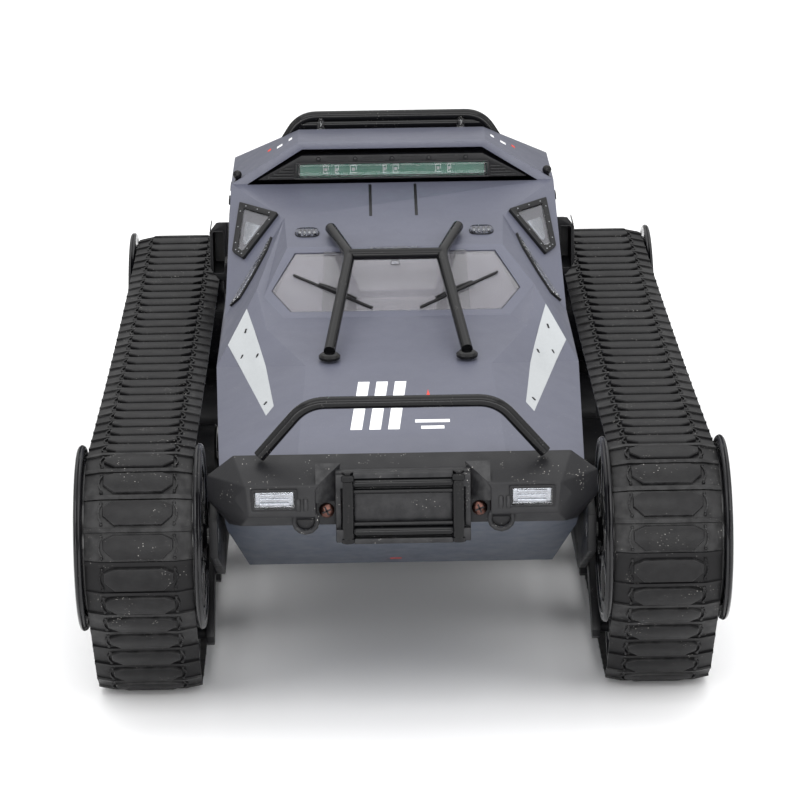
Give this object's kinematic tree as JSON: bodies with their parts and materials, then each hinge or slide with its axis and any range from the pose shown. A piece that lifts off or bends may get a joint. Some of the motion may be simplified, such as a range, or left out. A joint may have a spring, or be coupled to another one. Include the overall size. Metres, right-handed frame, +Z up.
{
  "type": "tracked model vehicle",
  "caption": "Remote-control tracked vehicle: faceted cab shell on a low hull between two wide belts, with road wheels on swing arms, bumper, guards, roof rack and lamps.",
  "frame": {"origin": "on the ground under the middle of the vehicle", "axes": "-Y towards the front bumper, +X towards the left-hand track seen from the driving seat, +Z up"},
  "size_m": [0.236, 0.4302, 0.1787],
  "materials": {
    "body_paint": "satin moulded blue-grey",
    "hull_plastic": "satin moulded dark blue-grey",
    "black_moulding": "satin black",
    "bumper_plastic": "fine grained black",
    "tube_plastic": "semi-gloss black",
    "wheel_plastic": "satin black",
    "gloss_wheel": "gloss black",
    "track_rubber": "satin black rubber",
    "smoked_glass": "smoked clear moulding",
    "clear_lens": "clear moulded lens",
    "red_lens": "red moulded lens",
    "circuit_board": "green solder mask",
    "battery_wrap": "shrink wrap",
    "steel": "machined",
    "brass": "machined"
  },
  "bodies": {
    "root": {"body_shell": "body_paint", "windscreen": "smoked_glass", "light_bar_housing": "black_moulding", "light_bar_lens": "clear_lens", "light_bar_board": "circuit_board", "hull_tub": "hull_plastic", "battery_hatch": "hull_plastic", "battery": "battery_wrap", "control_board": "circuit_board", "front_bumper": "bumper_plastic", "front_lamp_left": "clear_lens", "front_lamp_right": "clear_lens", "winch_fairlead": "bumper_plastic", "bull_bar": "tube_plastic", "hood_guard": "tube_plastic", "roof_rack": "tube_plastic", "side_intake_left": "black_moulding", "side_intake_right": "black_moulding", "rear_bumper": "bumper_plastic", "rear_lamp_left": "red_lens", "rear_lamp_right": "red_lens", "engine_cover": "black_moulding", "track_belt_left": "track_rubber", "drive_motor_left": "steel", "side_frame_left": "black_moulding", "track_belt_right": "track_rubber", "drive_motor_right": "steel", "side_frame_right": "black_moulding"},
    "drive_left": {"drive_sprocket_left": "gloss_wheel", "drive_gear_left": "steel"},
    "front_left": {"front_wheel_left": "gloss_wheel"},
    "motor_left": {"motor_pinion_left": "brass"},
    "arm_left_1": {"swing_arm_left_1": "black_moulding"},
    "wheel_left_1": {"road_wheel_left_1": "wheel_plastic"},
    "arm_left_2": {"swing_arm_left_2": "black_moulding"},
    "wheel_left_2": {"road_wheel_left_2": "wheel_plastic"},
    "arm_left_3": {"swing_arm_left_3": "black_moulding"},
    "wheel_left_3": {"road_wheel_left_3": "wheel_plastic"},
    "arm_left_4": {"swing_arm_left_4": "black_moulding"},
    "wheel_left_4": {"road_wheel_left_4": "wheel_plastic"},
    "arm_left_5": {"swing_arm_left_5": "black_moulding"},
    "wheel_left_5": {"road_wheel_left_5": "wheel_plastic"},
    "door_left": {"door_left": "body_paint"},
    "drive_right": {"drive_sprocket_right": "gloss_wheel", "drive_gear_right": "steel"},
    "front_right": {"front_wheel_right": "gloss_wheel"},
    "motor_right": {"motor_pinion_right": "brass"},
    "arm_right_1": {"swing_arm_right_1": "black_moulding"},
    "wheel_right_1": {"road_wheel_right_1": "wheel_plastic"},
    "arm_right_2": {"swing_arm_right_2": "black_moulding"},
    "wheel_right_2": {"road_wheel_right_2": "wheel_plastic"},
    "arm_right_3": {"swing_arm_right_3": "black_moulding"},
    "wheel_right_3": {"road_wheel_right_3": "wheel_plastic"},
    "arm_right_4": {"swing_arm_right_4": "black_moulding"},
    "wheel_right_4": {"road_wheel_right_4": "wheel_plastic"},
    "arm_right_5": {"swing_arm_right_5": "black_moulding"},
    "wheel_right_5": {"road_wheel_right_5": "wheel_plastic"},
    "door_right": {"door_right": "body_paint"},
    "switch": {"power_switch": "black_moulding"}
  },
  "joints": [
    {"name": "drive_left_spin", "type": "hinge", "parent": "root", "child": "drive_left", "pos_m": [0.095, 0.175, 0.067], "axis": [1, 0, 0], "continuous": true},
    {"name": "front_left_spin", "type": "hinge", "parent": "root", "child": "front_left", "pos_m": [0.095, -0.175, 0.067], "axis": [1, 0, 0], "continuous": true},
    {"name": "motor_left_spin", "type": "hinge", "parent": "root", "child": "motor_left", "pos_m": [0.037, 0.1558, 0.067], "axis": [1, 0, 0], "continuous": true},
    {"name": "arm_left_1_swing", "type": "hinge", "parent": "root", "child": "arm_left_1", "pos_m": [0.0723, -0.123, 0.042], "axis": [-1, 0, 0], "range_deg": [0, 8], "stiffness_Nm_per_rad": 0.15, "springref_deg": -8.59},
    {"name": "wheel_left_1_spin", "type": "hinge", "parent": "arm_left_1", "child": "wheel_left_1", "pos_m": [0.095, -0.151, 0.0213], "axis": [1, 0, 0], "continuous": true},
    {"name": "arm_left_2_swing", "type": "hinge", "parent": "root", "child": "arm_left_2", "pos_m": [0.0723, -0.0475, 0.042], "axis": [-1, 0, 0], "range_deg": [0, 8], "stiffness_Nm_per_rad": 0.15, "springref_deg": -8.59},
    {"name": "wheel_left_2_spin", "type": "hinge", "parent": "arm_left_2", "child": "wheel_left_2", "pos_m": [0.095, -0.0755, 0.0213], "axis": [1, 0, 0], "continuous": true},
    {"name": "arm_left_3_swing", "type": "hinge", "parent": "root", "child": "arm_left_3", "pos_m": [0.0723, -0.028, 0.042], "axis": [1, 0, 0], "range_deg": [0, 8], "stiffness_Nm_per_rad": 0.15, "springref_deg": -8.59},
    {"name": "wheel_left_3_spin", "type": "hinge", "parent": "arm_left_3", "child": "wheel_left_3", "pos_m": [0.095, 0, 0.0213], "axis": [1, 0, 0], "continuous": true},
    {"name": "arm_left_4_swing", "type": "hinge", "parent": "root", "child": "arm_left_4", "pos_m": [0.0723, 0.0475, 0.042], "axis": [1, 0, 0], "range_deg": [0, 8], "stiffness_Nm_per_rad": 0.15, "springref_deg": -8.59},
    {"name": "wheel_left_4_spin", "type": "hinge", "parent": "arm_left_4", "child": "wheel_left_4", "pos_m": [0.095, 0.0755, 0.0213], "axis": [1, 0, 0], "continuous": true},
    {"name": "arm_left_5_swing", "type": "hinge", "parent": "root", "child": "arm_left_5", "pos_m": [0.0723, 0.123, 0.042], "axis": [1, 0, 0], "range_deg": [0, 8], "stiffness_Nm_per_rad": 0.15, "springref_deg": -8.59},
    {"name": "wheel_left_5_spin", "type": "hinge", "parent": "arm_left_5", "child": "wheel_left_5", "pos_m": [0.095, 0.151, 0.0213], "axis": [1, 0, 0], "continuous": true},
    {"name": "door_left_lift", "type": "hinge", "parent": "root", "child": "door_left", "pos_m": [0.0672, 0.046, 0.15], "axis": [0, -1, 0], "range_deg": [0, 75]},
    {"name": "drive_right_spin", "type": "hinge", "parent": "root", "child": "drive_right", "pos_m": [-0.095, 0.175, 0.067], "axis": [1, 0, 0], "continuous": true},
    {"name": "front_right_spin", "type": "hinge", "parent": "root", "child": "front_right", "pos_m": [-0.095, -0.175, 0.067], "axis": [1, 0, 0], "continuous": true},
    {"name": "motor_right_spin", "type": "hinge", "parent": "root", "child": "motor_right", "pos_m": [-0.037, 0.1558, 0.067], "axis": [1, 0, 0], "continuous": true},
    {"name": "arm_right_1_swing", "type": "hinge", "parent": "root", "child": "arm_right_1", "pos_m": [-0.0723, -0.123, 0.042], "axis": [-1, 0, 0], "range_deg": [0, 8], "stiffness_Nm_per_rad": 0.15, "springref_deg": -8.59},
    {"name": "wheel_right_1_spin", "type": "hinge", "parent": "arm_right_1", "child": "wheel_right_1", "pos_m": [-0.095, -0.151, 0.0213], "axis": [1, 0, 0], "continuous": true},
    {"name": "arm_right_2_swing", "type": "hinge", "parent": "root", "child": "arm_right_2", "pos_m": [-0.0723, -0.0475, 0.042], "axis": [-1, 0, 0], "range_deg": [0, 8], "stiffness_Nm_per_rad": 0.15, "springref_deg": -8.59},
    {"name": "wheel_right_2_spin", "type": "hinge", "parent": "arm_right_2", "child": "wheel_right_2", "pos_m": [-0.095, -0.0755, 0.0213], "axis": [1, 0, 0], "continuous": true},
    {"name": "arm_right_3_swing", "type": "hinge", "parent": "root", "child": "arm_right_3", "pos_m": [-0.0723, -0.028, 0.042], "axis": [1, 0, 0], "range_deg": [0, 8], "stiffness_Nm_per_rad": 0.15, "springref_deg": -8.59},
    {"name": "wheel_right_3_spin", "type": "hinge", "parent": "arm_right_3", "child": "wheel_right_3", "pos_m": [-0.095, 0, 0.0213], "axis": [1, 0, 0], "continuous": true},
    {"name": "arm_right_4_swing", "type": "hinge", "parent": "root", "child": "arm_right_4", "pos_m": [-0.0723, 0.0475, 0.042], "axis": [1, 0, 0], "range_deg": [0, 8], "stiffness_Nm_per_rad": 0.15, "springref_deg": -8.59},
    {"name": "wheel_right_4_spin", "type": "hinge", "parent": "arm_right_4", "child": "wheel_right_4", "pos_m": [-0.095, 0.0755, 0.0213], "axis": [1, 0, 0], "continuous": true},
    {"name": "arm_right_5_swing", "type": "hinge", "parent": "root", "child": "arm_right_5", "pos_m": [-0.0723, 0.123, 0.042], "axis": [1, 0, 0], "range_deg": [0, 8], "stiffness_Nm_per_rad": 0.15, "springref_deg": -8.59},
    {"name": "wheel_right_5_spin", "type": "hinge", "parent": "arm_right_5", "child": "wheel_right_5", "pos_m": [-0.095, 0.151, 0.0213], "axis": [1, 0, 0], "continuous": true},
    {"name": "door_right_lift", "type": "hinge", "parent": "root", "child": "door_right", "pos_m": [-0.0672, 0.046, 0.15], "axis": [0, 1, 0], "range_deg": [0, 75]},
    {"name": "switch_slide", "type": "slide", "parent": "root", "child": "switch", "axis": [1, 0, 0], "range_m": [0, 0.0032]}
  ],
  "couplings": [
    {"joint": "front_left_spin", "follows": "drive_left_spin", "ratio": 1},
    {"joint": "motor_left_spin", "follows": "drive_left_spin", "ratio": -2.5},
    {"joint": "wheel_left_1_spin", "follows": "drive_left_spin", "ratio": 1.6882},
    {"joint": "wheel_left_2_spin", "follows": "drive_left_spin", "ratio": 1.6882},
    {"joint": "wheel_left_3_spin", "follows": "drive_left_spin", "ratio": 1.6882},
    {"joint": "wheel_left_4_spin", "follows": "drive_left_spin", "ratio": 1.6882},
    {"joint": "wheel_left_5_spin", "follows": "drive_left_spin", "ratio": 1.6882},
    {"joint": "front_right_spin", "follows": "drive_right_spin", "ratio": 1},
    {"joint": "motor_right_spin", "follows": "drive_right_spin", "ratio": -2.5},
    {"joint": "wheel_right_1_spin", "follows": "drive_right_spin", "ratio": 1.6882},
    {"joint": "wheel_right_2_spin", "follows": "drive_right_spin", "ratio": 1.6882},
    {"joint": "wheel_right_3_spin", "follows": "drive_right_spin", "ratio": 1.6882},
    {"joint": "wheel_right_4_spin", "follows": "drive_right_spin", "ratio": 1.6882},
    {"joint": "wheel_right_5_spin", "follows": "drive_right_spin", "ratio": 1.6882}
  ]
}
